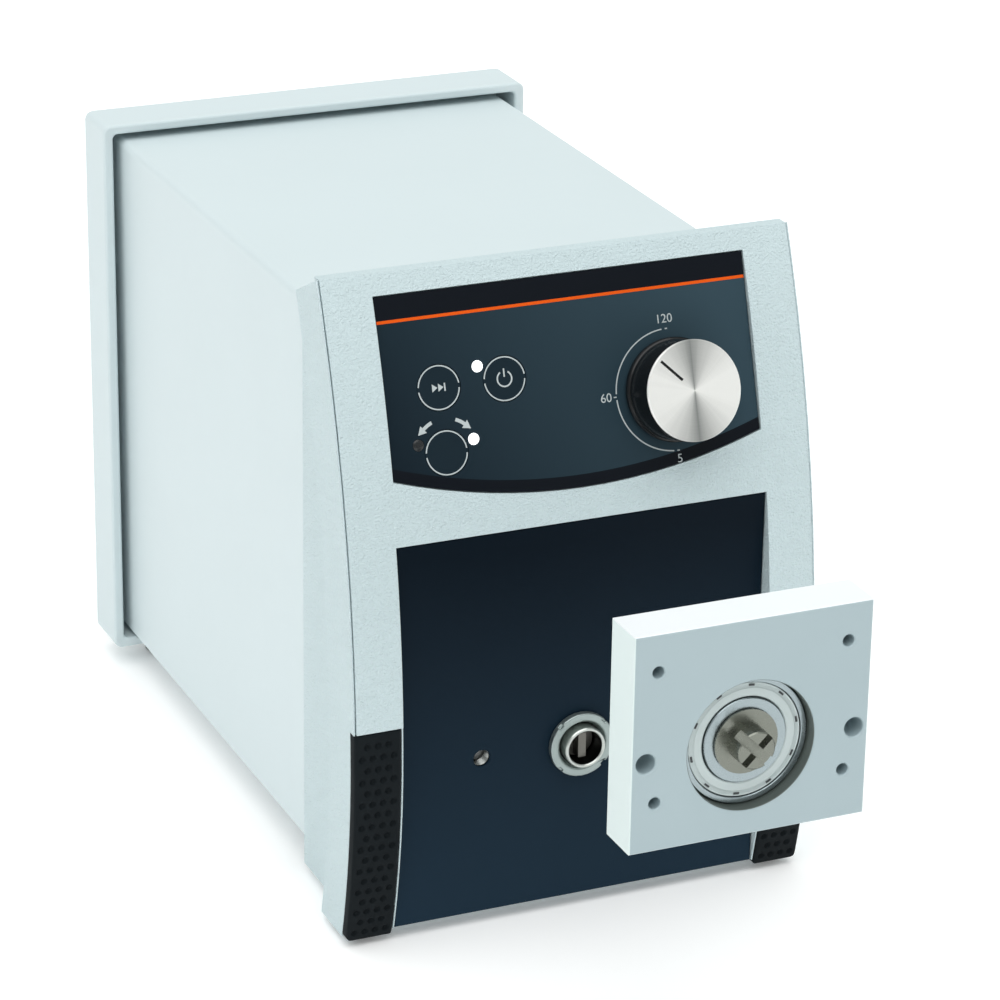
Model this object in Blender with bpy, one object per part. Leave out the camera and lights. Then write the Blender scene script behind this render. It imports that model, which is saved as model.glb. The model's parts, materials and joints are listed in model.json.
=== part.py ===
"""Laboratory peristaltic pump drive with its loose pump-head adapter plate.

Shapes are worked out in millimetres and written to the meshes in metres. +Z is up, the front
panel faces -Y, and the unit stands on its front pads and rear feet at Z = 0.
"""

import bmesh
import bpy
from math import acos, atan2, cos, pi, radians, sin, sqrt, tan
from mathutils import Matrix, Vector

MM = 0.001
GAP = 0.3

# Driving dimensions, in millimetres
WIDTH = 166.0
HALF = WIDTH / 2
REAR_Y = 194.0
FRAME_FRONT_Y = 172.0
FRAME_Z = (8.0, 214.0)
COVER_HALF = 76.0
COVER_Z = (14.5, 208.0)
SKIRT_REAR_Y = -12.3
SHEET = 1.5
TOP_Z = 224.5
LEG_BOTTOM_Z = 2.9
PAD_BOTTOM_Z = 2.7

# The front is an arc in side view: its foremost line, that line's height, and its radius
FRONT_Y = -75.8
FRONT_MID_Z = 62.8
FRONT_R = 412.5
HOOD_DEPTH = 22.5
FASCIA = 4.5
PAD_THICK = 3.6
PAD_TOP_Z = 80.4
WINDOW_HALF = 66.0
WINDOW_TOP_Z = 140.8
PANEL_Y = -68.0
PANEL_BOTTOM_Z = 4.6

# Control panel, a flat plate set in the sloping upper front
CONTROL_CENTRE = (0.0, -54.15, 189.7)
CONTROL_TILT = radians(17.9)
CONTROL_HALF = 65.0
CONTROL_TOP_V = 29.2
CONTROL_CORNER_V = -29.6
CONTROL_LOW_V = -40.0
KNOB_UV = (35.0, -12.8)
KEYS_UV = {"max_key": (-46.1, -1.9), "power_key": (-23.3, -1.9), "direction_key": (-45.8, -22.9)}
LAMPS_UV = {
    "power_lamp": (-32.2, 3.2), "left_turn_lamp": (-55.2, -19.3), "right_turn_lamp": (-36.1, -19.7)}
KEY_R = 7.5
LAMP_R = 1.7

# Drive train
OUTPUT_XZ = (0.0, 61.0)
IDLER_XZ = (-18.0, 85.0)
MOTOR_XZ = (0.0, 109.0)
GEAR_MODULE = 1.25
WHEEL_TEETH = 36
PINION_TEETH = 12
SLEEVE_R = 7.2
SLEEVE_BORE_R = 5.9
SLEEVE_TIP_Y = -73.5
HEAD_HOLE_X = 35.0

# Adapter plate, drawn out in front of its seat along a straight path
PLATE = (79.4, 16.5, 71.5)
PLATE_RAISED = 52.9
PLATE_FRONT_Y = -190.0
PLATE_BORE_Z = OUTPUT_XZ[1] + PLATE_RAISED
PLATE_ABOVE_BORE = 6.1


# Scene and finishes

for leftover in list(bpy.data.objects):
    bpy.data.objects.remove(leftover, do_unlink=True)

FINISHES = {
    "grey_paint": ((0.66, 0.71, 0.72), 0.45, 0.0),
    "grey_plastic": ((0.62, 0.68, 0.69), 0.6, 0.0),
    "rubber": ((0.03, 0.035, 0.04), 0.85, 0.0),
    "navy_paint": ((0.015, 0.03, 0.05), 0.4, 0.0),
    "panel_film": ((0.03, 0.05, 0.06), 0.2, 0.0),
    "black_plastic": ((0.02, 0.02, 0.02), 0.4, 0.0),
    "aluminium": ((0.75, 0.76, 0.77), 0.35, 1.0),
    "plate_aluminium": ((0.55, 0.62, 0.64), 0.5, 0.6),
    "steel": ((0.55, 0.56, 0.57), 0.3, 1.0),
    "brass": ((0.7, 0.55, 0.25), 0.35, 1.0),
    "clear_lens": ((0.85, 0.88, 0.9), 0.15, 0.0),
    "board_green": ((0.02, 0.16, 0.08), 0.5, 0.0),
    "copper_varnish": ((0.45, 0.2, 0.08), 0.4, 0.6),
}
MATERIALS = {}
for finish_name, (colour, roughness, metallic) in FINISHES.items():
    material = bpy.data.materials.new(finish_name)
    material.use_nodes = True
    shader = material.node_tree.nodes["Principled BSDF"]
    shader.inputs["Base Color"].default_value = (*colour, 1.0)
    shader.inputs["Roughness"].default_value = roughness
    shader.inputs["Metallic"].default_value = metallic
    MATERIALS[finish_name] = material


# Shapes, all bmeshes in millimetres

def settle(shape):
    """Merge coincident points and turn every face outwards."""
    bmesh.ops.remove_doubles(shape, verts=shape.verts, dist=0.0001)
    bmesh.ops.recalc_face_normals(shape, faces=shape.faces)
    return shape


def extruded(outline, axis, start, end):
    """Prism on a 2D outline: (y, z) along X, (x, z) along Y, or (x, y) along Z."""
    place = {
        "X": lambda a, b, c: (c, a, b),
        "Y": lambda a, b, c: (a, c, b),
        "Z": lambda a, b, c: (a, b, c),
    }[axis]
    shape = bmesh.new()
    face = shape.faces.new([shape.verts.new(place(a, b, start)) for a, b in outline])
    grown = bmesh.ops.extrude_face_region(shape, geom=[face])["geom"]
    new_verts = [item for item in grown if isinstance(item, bmesh.types.BMVert)]
    bmesh.ops.translate(shape, verts=new_verts, vec=place(0, 0, end - start))
    return settle(shape)


def box(x, y, z):
    return extruded([(x[0], y[0]), (x[1], y[0]), (x[1], y[1]), (x[0], y[1])], "Z", z[0], z[1])


def merged(*shapes):
    """Several shapes that don't meet, as one bmesh."""
    whole = bmesh.new()
    for shape in shapes:
        spare = bpy.data.meshes.new("spare")
        shape.to_mesh(spare)
        shape.free()
        whole.from_mesh(spare)
        bpy.data.meshes.remove(spare)
    return whole


def turned(profile, centre=(0.0, 0.0), axis="Y", segments=32, closed=False):
    """Solid of revolution about a line along Y or Z, from (radius, height) points."""
    shape = bmesh.new()
    cx, cy = centre
    if axis == "Y":
        verts = [shape.verts.new((cx + r, h, cy)) for r, h in profile]
        hub, direction = (cx, 0, cy), (0, 1, 0)
    else:
        verts = [shape.verts.new((cx + r, cy, h)) for r, h in profile]
        hub, direction = (cx, cy, 0), (0, 0, 1)
    pairs = list(zip(verts, verts[1:]))
    if closed:
        pairs.append((verts[-1], verts[0]))
    edges = [shape.edges.new(pair) for pair in pairs]
    bmesh.ops.spin(shape, geom=verts + edges, cent=hub, axis=direction, angle=2 * pi, steps=segments,
                   use_merge=True)
    return settle(shape)


def drum(radius, start, end, centre=(0.0, 0.0), axis="Y", segments=32):
    return turned([(0, start), (radius, start), (radius, end), (0, end)], centre, axis, segments)


def ring(inner, outer, start, end, centre=(0.0, 0.0), axis="Y", segments=32):
    profile = [(inner, start), (outer, start), (outer, end), (inner, end)]
    return turned(profile, centre, axis, segments, closed=True)


def rounded(x, z, radius, steps=4):
    """Rectangle outline with round corners."""
    corners = ((x[1], z[1], 0), (x[0], z[1], 1), (x[0], z[0], 2), (x[1], z[0], 3))
    points = []
    for cx, cz, quarter in corners:
        sx = -radius if cx == x[1] else radius
        sz = -radius if cz == z[1] else radius
        for step in range(steps + 1):
            angle = (quarter + step / steps) * pi / 2
            points.append((cx + sx + radius * cos(angle), cz + sz + radius * sin(angle)))
    return points


def front(z):
    """Y of the front arc at height z, which falls back faster towards the bottom."""
    tuck = 0.00075 * max(0.0, 70.0 - z) ** 2
    return FRONT_Y + FRONT_R - sqrt(FRONT_R ** 2 - (z - FRONT_MID_Z) ** 2) + tuck


def arc_slab(near, far, bottom, top, steps=12):
    """Side outline between two curves parallel to the front arc; near or far may be a plain Y."""
    heights = [bottom + (top - bottom) * step / steps for step in range(steps + 1)]

    def side(limit):
        if isinstance(limit, tuple):
            return [(front(z) + limit[0], z) for z in heights]
        return [(limit, bottom), (limit, top)]

    return side(near) + side(far)[::-1]


# Objects

def part(name, shape, finish, pivot=(0.0, 0.0, 0.0), smooth=False):
    bmesh.ops.translate(shape, verts=shape.verts, vec=-Vector(pivot))
    bmesh.ops.scale(shape, verts=shape.verts, vec=(MM, MM, MM))
    mesh = bpy.data.meshes.new(name)
    shape.to_mesh(mesh)
    shape.free()
    mesh.materials.append(MATERIALS[finish])
    if smooth:
        mesh.shade_smooth()
        mesh.set_sharp_from_angle(angle=radians(35))
    piece = bpy.data.objects.new(name, mesh)
    piece.location = Vector(pivot) * MM
    bpy.context.scene.collection.objects.link(piece)
    return piece


def combine(piece, operation, shapes):
    for number, shape in enumerate(shapes):
        tool = part(f"{piece.name}_{operation.lower()}_{number}", shape, "steel")
        tool.hide_render = True
        tool.display_type = "WIRE"
        modifier = piece.modifiers.new(f"{operation.lower()} {number}", "BOOLEAN")
        modifier.operation = operation
        modifier.solver = "EXACT"
        modifier.object = tool


def cut(piece, *shapes):
    combine(piece, "DIFFERENCE", shapes)


def join(piece, *shapes):
    combine(piece, "UNION", shapes)


def rounded_edges(piece, width, segments=2):
    bevel = piece.modifiers.new("edges", "BEVEL")
    bevel.width = width * MM
    bevel.segments = segments
    bevel.limit_method = "ANGLE"
    bevel.angle_limit = radians(50)


# Control panel frame: u to the right, v up the slope, n out of the panel

PANEL_N = Vector((0, -cos(CONTROL_TILT), sin(CONTROL_TILT)))
PANEL_V = Vector((0, sin(CONTROL_TILT), cos(CONTROL_TILT)))
PANEL_FRAME = Matrix.Translation(CONTROL_CENTRE) @ Matrix((
    (1, 0, 0, 0),
    (0, PANEL_V.y, PANEL_N.y, 0),
    (0, PANEL_V.z, PANEL_N.z, 0),
    (0, 0, 0, 1),
))


def on_panel(shape):
    shape.transform(PANEL_FRAME)
    return shape


def panel_point(u, v, n=0.0):
    return tuple(PANEL_FRAME @ Vector((u, v, n)))


def control_outline(margin):
    """Straight top and sides, with a shallow arc along the bottom."""
    half = CONTROL_HALF + margin
    sag = CONTROL_CORNER_V - CONTROL_LOW_V
    steps = 16
    bottom = []
    for step in range(steps + 1):
        u = half * (2 * step / steps - 1)
        bottom.append((u, CONTROL_LOW_V - margin + sag * (u / half) ** 2))
    return bottom + [(half, CONTROL_TOP_V + margin), (-half, CONTROL_TOP_V + margin)]


# Sheet-metal body

cover_outline = [
    (COVER_HALF, COVER_Z[0]), (COVER_HALF, COVER_Z[1] - 2.5), (COVER_HALF - 0.8, COVER_Z[1] - 0.8),
    (COVER_HALF - 2.5, COVER_Z[1]),
]
cover_inner = [
    (COVER_HALF - 2.5, COVER_Z[1] - SHEET), (COVER_HALF - SHEET, COVER_Z[1] - 2.5),
    (COVER_HALF - SHEET, COVER_Z[0]),
]
cover_loop = [(x, z) for x, z in cover_outline]
cover_loop += [(-x, z) for x, z in reversed(cover_outline)]
cover_loop += [(-x, z) for x, z in reversed(cover_inner)]
cover_loop += cover_inner
housing_cover = part("housing_cover", extruded(cover_loop, "Y", SKIRT_REAR_Y + GAP, 186.0), "grey_paint")

tray_half = COVER_HALF - SHEET - GAP
tray_outline = [
    (-tray_half, COVER_Z[0]), (tray_half, COVER_Z[0]), (tray_half, 25.5), (tray_half - SHEET, 25.5),
    (tray_half - SHEET, COVER_Z[0] + 2), (-tray_half + SHEET, COVER_Z[0] + 2),
    (-tray_half + SHEET, 25.5), (-tray_half, 25.5),
]
base_tray = part("base_tray", extruded(tray_outline, "Y", SKIRT_REAR_Y + GAP, 188.4), "grey_paint")

# Blocks that take the rear panel's screws, two on the cover and two on the tray
SCREWS_XZ = {
    "lower_left": (-68.0, 24.0), "lower_right": (68.0, 24.0),
    "upper_left": (-68.0, 198.0), "upper_right": (68.0, 198.0),
}
join(housing_cover, merged(
    box((-75.0, -62.0), (176.0, 186.0), (192.0, 204.0)),
    box((62.0, 75.0), (176.0, 186.0), (192.0, 204.0))))
join(base_tray, merged(
    box((-73.5, -62.0), (176.0, 188.4), (15.0, 30.0)), box((62.0, 73.5), (176.0, 188.4), (15.0, 30.0))))
for holder, level in ((housing_cover, "upper"), (base_tray, "lower")):
    cut(holder, merged(*[
        drum(1.8, 180, 200, xz, segments=12) for name, xz in SCREWS_XZ.items() if level in name]))

rear_frame = part(
    "rear_frame",
    extruded(rounded((-HALF, HALF), FRAME_Z, 3.0), "Y", FRAME_FRONT_Y, REAR_Y),
    "grey_plastic", smooth=True)
cut(
    rear_frame,
    extruded(rounded((-79.2, 79.2), (11.7, 210.6), 1.5, 2), "Y", FRAME_FRONT_Y - 5, 191.0),
    box((-73, 73), (180, 200), (18, 204)))


# Front moulding: a curved hood on legs, with a skirt that meets the cover

hood_outline = arc_slab((0.4,), (HOOD_DEPTH,), LEG_BOTTOM_Z, 215.4)
hood_outline.insert(13, (front(TOP_Z) + 0.4, TOP_Z))
front_bezel = part("front_bezel", extruded(hood_outline, "X", -HALF, HALF), "grey_plastic", smooth=True)
join(front_bezel, extruded(arc_slab((12.0,), SKIRT_REAR_Y, 4.0, COVER_Z[1] + 0.4), "X", -76.4, 76.4))
cavity_outline = arc_slab((-10.0,), (HOOD_DEPTH - 3,), 84.0, 212.0)
cavity_outline.insert(13, (front(221.0) - 10, 221.0))
cavity_outline.insert(14, (front(TOP_Z) + 0.4, 221.0))
cut(
    front_bezel,
    extruded(cavity_outline, "X", -80.0, 80.0),
    box((-68, 68), (-100, PANEL_Y + 5.3), (-1, 84.5)),
    extruded(arc_slab(PANEL_Y + 5.0, (HOOD_DEPTH - 2.9,), 7.0, 85.0), "X", -68.0, 68.0),
    extruded(arc_slab((15.0,), 0.0, 7.0, 205.4), "X", -73.4, 73.4),
    extruded(arc_slab((-12.0,), (FASCIA + GAP,), PAD_TOP_Z - 0.1, 232.0), "X", -82.5, 82.5),
    extruded(arc_slab((-12.0,), (PAD_THICK + GAP,), -1.0, PAD_TOP_Z + 0.1), "X", -90.0, 90.0))

front_fascia = part(
    "front_fascia",
    extruded(arc_slab((0.0,), (FASCIA,), PAD_TOP_Z + GAP, TOP_Z, 16), "X", -82.15, 82.15),
    "grey_plastic", smooth=True)
lip_z = (PANEL_BOTTOM_Z, WINDOW_TOP_Z + 1.5)
join(
    front_fascia,
    extruded(arc_slab((0.2,), PANEL_Y + 5.0, *lip_z), "X", -66.5, 66.5),
    extruded(arc_slab((PAD_THICK + GAP,), PANEL_Y + 5.0, *lip_z), "X", -67.5, 67.5))
cut(
    front_fascia,
    box((-WINDOW_HALF, WINDOW_HALF), (-110, -40), (-10, WINDOW_TOP_Z)),
    on_panel(extruded(control_outline(GAP), "Z", -1.3, 12.0)),
    on_panel(merged(
        *[drum(KEY_R + GAP, -9, 3, uv, "Z", 24) for uv in KEYS_UV.values()],
        *[drum(LAMP_R + GAP, -9, 3, uv, "Z", 12) for uv in LAMPS_UV.values()],
        drum(4.0, -9, 3, KNOB_UV, "Z", 16))))

for side, name in ((-1, "left_grip_pad"), (1, "right_grip_pad")):
    inner, outer = sorted((side * 66.8, side * 83.0))
    pad = part(
        name,
        extruded(arc_slab((-0.2,), (PAD_THICK,), PAD_BOTTOM_Z, PAD_TOP_Z), "X", inner, outer),
        "rubber")
    inner, outer = sorted((side * 71.0, side * 79.0))
    under_leg = LEG_BOTTOM_Z - GAP
    foot_side = [(-67.2, 5.0), (-67.2, 0.9), (-60.5, 0.9), (-60.5, 0.0), (-50.0, 0.0), (-50.0, under_leg)]
    foot_side += [(-65.6, under_leg), (-65.6, 5.0)]
    join(pad, extruded(foot_side, "X", inner, outer))

panel_half = WINDOW_HALF - GAP
mounting_panel = part(
    "mounting_panel",
    box((-panel_half, panel_half), (PANEL_Y, PANEL_Y + 5), (PANEL_BOTTOM_Z, WINDOW_TOP_Z - GAP)),
    "navy_paint")
head_holes = ((-HEAD_HOLE_X, OUTPUT_XZ[1]), (HEAD_HOLE_X, OUTPUT_XZ[1]))
cut(
    mounting_panel,
    merged(
        drum(9.2, PANEL_Y - 2, PANEL_Y + 9, OUTPUT_XZ),
        *[drum(2.95, PANEL_Y - 2, PANEL_Y + 9, xz, segments=20) for xz in head_holes]),
    merged(*[drum(4.6, PANEL_Y + 1, PANEL_Y + 9, xz, segments=20) for xz in head_holes]))
for name, xz in zip(("left_thread_insert", "right_thread_insert"), head_holes):
    part(name, ring(2.6, 4.3, PANEL_Y + 1.3, PANEL_Y + 4.9, xz, segments=20), "steel", smooth=True)


# Control panel: printed front plate, keys, lamps, knob, and the board behind them

control_panel = part(
    "control_panel", on_panel(extruded(control_outline(0.0), "Z", -1.0, 0.0)), "panel_film")
cut(control_panel, on_panel(merged(
    *[drum(KEY_R + GAP, -3, 3, uv, "Z", 24) for uv in KEYS_UV.values()],
    *[drum(LAMP_R + GAP, -3, 3, uv, "Z", 12) for uv in LAMPS_UV.values()],
    drum(4.0, -3, 3, KNOB_UV, "Z", 16))))

BOARD_N = -12.0
STEM_END_N = -6.4
for name, (u, v) in KEYS_UV.items():
    key_profile = [(0, STEM_END_N), (2.5, STEM_END_N), (2.5, -1.6), (KEY_R, -1.6), (KEY_R, -0.1)]
    key_profile.append((0, -0.1))
    part(name, on_panel(turned(key_profile, (u, v), "Z", 24)), "panel_film", panel_point(u, v), True)
for name, uv in LAMPS_UV.items():
    part(name, on_panel(drum(LAMP_R, -6.0, -0.05, uv, "Z", 12)), "clear_lens", smooth=True)

control_board = part(
    "control_board",
    on_panel(box((-62, 62), (-28, 22), (BOARD_N - 1.6, BOARD_N))),
    "board_green")
join(
    control_board,
    on_panel(merged(*[
        box((u - 3, u + 3), (v - 3, v + 3), (BOARD_N - 0.5, -8.4)) for u, v in KEYS_UV.values()])),
    on_panel(merged(*[drum(1.7, -9.5, -7.5, uv, "Z", 12) for uv in KEYS_UV.values()])))

knob_u, knob_v = KNOB_UV
encoder = part(
    "speed_encoder",
    on_panel(box((knob_u - 6.5, knob_u + 6.5), (knob_v - 6.5, knob_v + 6.5), (BOARD_N + GAP, -5.6))),
    "steel")
join(encoder, on_panel(drum(3.7, -8.0, -1.2, KNOB_UV, "Z", 16)))
cut(encoder, on_panel(drum(3.2, -9.0, 3.0, KNOB_UV, "Z", 16)))
knob_pivot = panel_point(knob_u, knob_v)
part("knob_shaft", on_panel(drum(3.0, -8.6, 11.6, KNOB_UV, "Z", 16)), "steel", knob_pivot, True)
knob_profile = [
    (0, 12.9), (8.4, 12.9), (8.4, 15.8), (16.1, 15.8), (16.5, 3.4), (17.2, 3.0), (17.2, 0.8), (3.3, 0.8),
    (3.3, 11.9), (0, 11.9),
]
part("knob_body", on_panel(turned(knob_profile, KNOB_UV, "Z", 40)), "black_plastic", knob_pivot, True)
cap_profile = [(0, 13.2), (8.1, 13.2), (8.1, 16.1), (16.0, 16.1), (16.6, 16.6), (16.2, 17.3), (0, 17.3)]
knob_cap = part("knob_cap", on_panel(turned(cap_profile, KNOB_UV, "Z", 40)), "aluminium", knob_pivot, True)
pointer = box((-0.45, 0.45), (5.5, 15.5), (16.8, 18.5))
pointer.transform(Matrix.Rotation(radians(45), 4, "Z"))
bmesh.ops.translate(pointer, verts=pointer.verts, vec=(knob_u, knob_v, 0))
cut(knob_cap, on_panel(pointer))


# Output: flange in the mounting panel, sleeve, shaft, and the gearbox behind

flange_profile = [
    (8.7, PANEL_Y - 2.8), (11.3, PANEL_Y - 2.8), (11.3, PANEL_Y - GAP), (8.9, PANEL_Y - GAP),
    (8.9, PANEL_Y + 4.8), (7.5, PANEL_Y + 4.8), (7.5, PANEL_Y - 0.8),
]
output_flange = part(
    "output_flange", turned(flange_profile, OUTPUT_XZ, closed=True), "aluminium", smooth=True)
spanner_notches = []
for quarter in range(4):
    notch = box((10.4, 12.5), (PANEL_Y - 4, PANEL_Y - 1.6), (-0.9, 0.9))
    notch.transform(Matrix.Rotation(quarter * pi / 2 + pi / 4, 4, "Y"))
    bmesh.ops.translate(notch, verts=notch.verts, vec=(OUTPUT_XZ[0], 0, OUTPUT_XZ[1]))
    spanner_notches.append(notch)
cut(output_flange, merged(*spanner_notches))

output_pivot = (OUTPUT_XZ[0], PANEL_Y, OUTPUT_XZ[1])
part(
    "output_sleeve", ring(SLEEVE_BORE_R, SLEEVE_R, SLEEVE_TIP_Y, -57.5, OUTPUT_XZ), "steel",
    output_pivot, True)
output_shaft = part(
    "output_shaft", drum(5.6, -66.5, -13.0, OUTPUT_XZ, segments=24), "steel", output_pivot, True)
join(output_shaft, box((-1.5, 1.5), (-70.5, -64.0), (OUTPUT_XZ[1] - 4.5, OUTPUT_XZ[1] + 4.5)))


def gear_outline(teeth, turn):
    """Involute flanks by formula, thinned a little for backlash."""
    pitch_r = GEAR_MODULE * teeth / 2
    base_r = pitch_r * cos(radians(20))
    root_r = pitch_r - 1.25 * GEAR_MODULE
    tip_r = pitch_r + 0.8 * GEAR_MODULE

    def involute(radius):
        pressure = acos(min(1.0, base_r / radius))
        return tan(pressure) - pressure

    pitch_half = pi / (2 * teeth) - 0.11 / pitch_r + involute(pitch_r)
    flank = [(root_r, pitch_half)]
    for radius in (max(base_r, root_r + 0.4), pitch_r + 0.2, tip_r):
        flank.append((radius, pitch_half - involute(radius)))
    points = []
    for tooth in range(teeth):
        middle = turn + 2 * pi * tooth / teeth
        for radius, half in flank:
            points.append((radius, middle - half))
        for radius, half in reversed(flank):
            points.append((radius, middle + half))
    return [(radius * cos(angle), radius * sin(angle)) for radius, angle in points]


def gear(teeth, start, end, centre, turn):
    outline = [(centre[0] + x, centre[1] + z) for x, z in gear_outline(teeth, turn)]
    return extruded(outline, "Y", start, end)


def facing(from_xz, to_xz):
    """Direction from one axis to the other, anticlockwise from +X towards +Z."""
    return atan2(to_xz[1] - from_xz[1], to_xz[0] - from_xz[0])


out_to_idler = facing(OUTPUT_XZ, IDLER_XZ)
idler_to_motor = facing(IDLER_XZ, MOTOR_XZ)
half_pitch = pi / PINION_TEETH
output_gear = part(
    "output_gear", gear(WHEEL_TEETH, -55.5, -48.5, OUTPUT_XZ, out_to_idler), "steel", output_pivot)
cut(output_gear, drum(5.9, -60, -40, OUTPUT_XZ, segments=24))

idler_pivot = (IDLER_XZ[0], PANEL_Y, IDLER_XZ[1])
idler_pinion = part(
    "idler_pinion_shaft", gear(PINION_TEETH, -56.2, -47.8, IDLER_XZ, out_to_idler + pi + half_pitch),
    "steel", idler_pivot)
join(idler_pinion, drum(4.0, -62.0, -15.0, IDLER_XZ, segments=20))
idler_gear = part(
    "idler_gear", gear(WHEEL_TEETH, -40.0, -34.0, IDLER_XZ, idler_to_motor), "brass", idler_pivot)
cut(idler_gear, drum(4.3, -60, -10, IDLER_XZ, segments=20))

motor_pivot = (MOTOR_XZ[0], PANEL_Y, MOTOR_XZ[1])
motor_pinion = part(
    "motor_pinion_shaft", gear(PINION_TEETH, -41.0, -33.0, MOTOR_XZ, idler_to_motor + pi + half_pitch),
    "steel", motor_pivot)
join(motor_pinion, drum(3.0, -43.0, -6.0, MOTOR_XZ, segments=16))

GEARBOX_X = (-52.0, 40.0)
GEARBOX_Z = (30.0, 138.0)
gearbox_front = part(
    "gearbox_front_plate", box(GEARBOX_X, (-62.7, -57.0), GEARBOX_Z), "aluminium")
cut(gearbox_front, merged(
    drum(14.3, -70, -50, OUTPUT_XZ), drum(4.3, -70, -50, IDLER_XZ, segments=20)))
gearbox_rear = part(
    "gearbox_rear_plate", box(GEARBOX_X, (-20.0, -14.3), GEARBOX_Z), "aluminium")
cut(gearbox_rear, merged(
    drum(11.3, -30, -5, OUTPUT_XZ), drum(4.3, -30, -5, IDLER_XZ, segments=20),
    drum(5.0, -30, -5, MOTOR_XZ, segments=20)))
part("output_front_bearing", ring(7.5, 14.0, -62.4, -57.3, OUTPUT_XZ), "steel", smooth=True)
part("output_rear_bearing", ring(5.9, 11.0, -19.7, -14.6, OUTPUT_XZ), "steel", smooth=True)
join(gearbox_rear, merged(*[
    drum(4.0, -56.7, -18.0, (x, z), segments=12) for x in (-46, 34) for z in (36, 132)]))

motor = part("drive_motor", drum(26.0, -14.0, 60.0, MOTOR_XZ), "steel", smooth=True)
rounded_edges(motor, 1.5)
cut(motor, drum(3.3, -20.0, -5.0, MOTOR_XZ, segments=16))


# Electrical parts on the tray and the side wall

supply = part("power_supply_board", box((-60, 60), (34, 160), (30.0, 31.6)), "board_green")
join(supply, merged(*[
    drum(2.5, COVER_Z[0] + 2 + GAP, 31.0, (x, y), "Z", 10) for x in (-54, 54) for y in (40, 154)]))
transformer = part("supply_transformer", box((-52, -6), (92, 150), (31.9, 72)), "copper_varnish")
rounded_edges(transformer, 3.0)
part("filter_capacitor", drum(12.5, 31.9, 66.0, (38, 128), "Z", 24), "black_plastic", smooth=True)
fins = [(18.0, 31.9), (48.0, 31.9)]
for fin in range(6, -1, -1):
    left = 18.0 + fin * (30.0 - 2.0) / 6
    top = [(left + 2.0, 36.0), (left + 2.0, 58.0), (left, 58.0), (left, 36.0)]
    fins += top if fin not in (0, 6) else (top[1:] if fin == 6 else top[:3])
part("supply_heat_sink", extruded(fins, "Y", 50.0, 88.0), "aluminium")

driver = part("motor_driver_board", box((66, 67.6), (20, 130), (95, 175)), "board_green")
peg_shapes = []
for y, z in ((26, 101), (124, 101), (26, 169), (124, 169)):
    peg = drum(2.2, 0.0, 7.0, (0.0, 0.0), "Z", 10)
    peg.transform(Matrix.Translation((67.2, y, z)) @ Matrix.Rotation(pi / 2, 4, "Y"))
    peg_shapes.append(peg)
join(driver, merged(*peg_shapes))


# Rear: panel, fan, mains inlet, fuse drawer, switch and remote socket

REAR_PANEL_Y = (188.7, 190.7)
FAN_XZ = (0.0, 165.0)
rear_panel = part(
    "rear_panel",
    extruded(rounded((-78.9, 78.9), (12.0, 210.3), 1.5, 2), "Y", *REAR_PANEL_Y),
    "grey_paint")
vent_slots = []
for row in range(9):
    height = FAN_XZ[1] + (row - 4) * 6.0
    reach = sqrt(27.0 ** 2 - (height - FAN_XZ[1]) ** 2)
    vent_slots.append(box((-reach, reach), (180, 200), (height - 1.6, height + 1.6)))
cut(
    rear_panel,
    merged(
        *vent_slots,
        box((26.2, 53.8), (180, 200), (24.7, 71.3)),
        box((-50.3, -29.7), (180, 200), (32.7, 57.3)),
        box((-15.8, 5.8), (180, 200), (106.2, 113.8)),
        *[drum(1.8, 180, 200, xz, segments=12) for xz in SCREWS_XZ.values()]))
for corner, xz in SCREWS_XZ.items():
    screw_profile = [(0, 182.0), (1.5, 182.0), (1.5, 191.0), (3.1, 191.0), (3.1, 192.2)]
    screw_profile += [(2.2, 193.0), (0, 193.0)]
    part(f"rear_screw_{corner}", turned(screw_profile, xz, segments=16), "steel", smooth=True)

fan_frame = part("fan_frame", box((-30, 30), (174.0, 188.3), (135, 195)), "black_plastic")
fan_struts = []
for quarter in range(4):
    strut = box((9.0, 29.0), (174.0, 175.6), (-1.6, 1.6))
    strut.transform(Matrix.Rotation(quarter * pi / 2 + pi / 4, 4, "Y"))
    bmesh.ops.translate(strut, verts=strut.verts, vec=(FAN_XZ[0], 0, FAN_XZ[1]))
    fan_struts.append(strut)
cut(fan_frame, drum(27.5, 170, 192, FAN_XZ))
join(fan_frame, drum(12.0, 174.0, 175.8, FAN_XZ, segments=24), merged(*fan_struts))
fan_pivot = (FAN_XZ[0], 181.0, FAN_XZ[1])
fan_rotor = part(
    "fan_rotor", drum(12.0, 176.4, 187.6, FAN_XZ, segments=24), "black_plastic", fan_pivot, True)
blades = []
for number in range(7):
    blade = box((10.5, 26.3), (-4.6, 4.6), (-0.7, 0.7))
    blade.transform(Matrix.Rotation(radians(35), 4, "X"))
    blade.transform(Matrix.Rotation(number * 2 * pi / 7, 4, "Y"))
    bmesh.ops.translate(blade, verts=blade.verts, vec=fan_pivot)
    blades.append(blade)
join(fan_rotor, merged(*blades))

inlet = part("mains_inlet", box((24, 56), (191.0, 193.0), (22, 74)), "black_plastic")
join(inlet, box((26.5, 53.5), (165.0, 192.0), (25.0, 71.0)))
cut(inlet, merged(
    box((29.0, 51.0), (177.0, 200.0), (48.0, 64.0)),
    box((30.0, 50.0), (171.5, 200.0), (29.0, 41.0))))
join(inlet, merged(*[
    box((x - 1.0, x + 1.0), (176.0, 189.0), (z - 2.0, z + 2.0))
    for x, z in ((33, 54), (40, 58), (47, 54))]))
fuse_pivot = (40.0, 192.4, 35.0)
part("fuse_drawer", box((30.3, 49.7), (172.0, 192.4), (29.3, 40.7)), "black_plastic", fuse_pivot)

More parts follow.
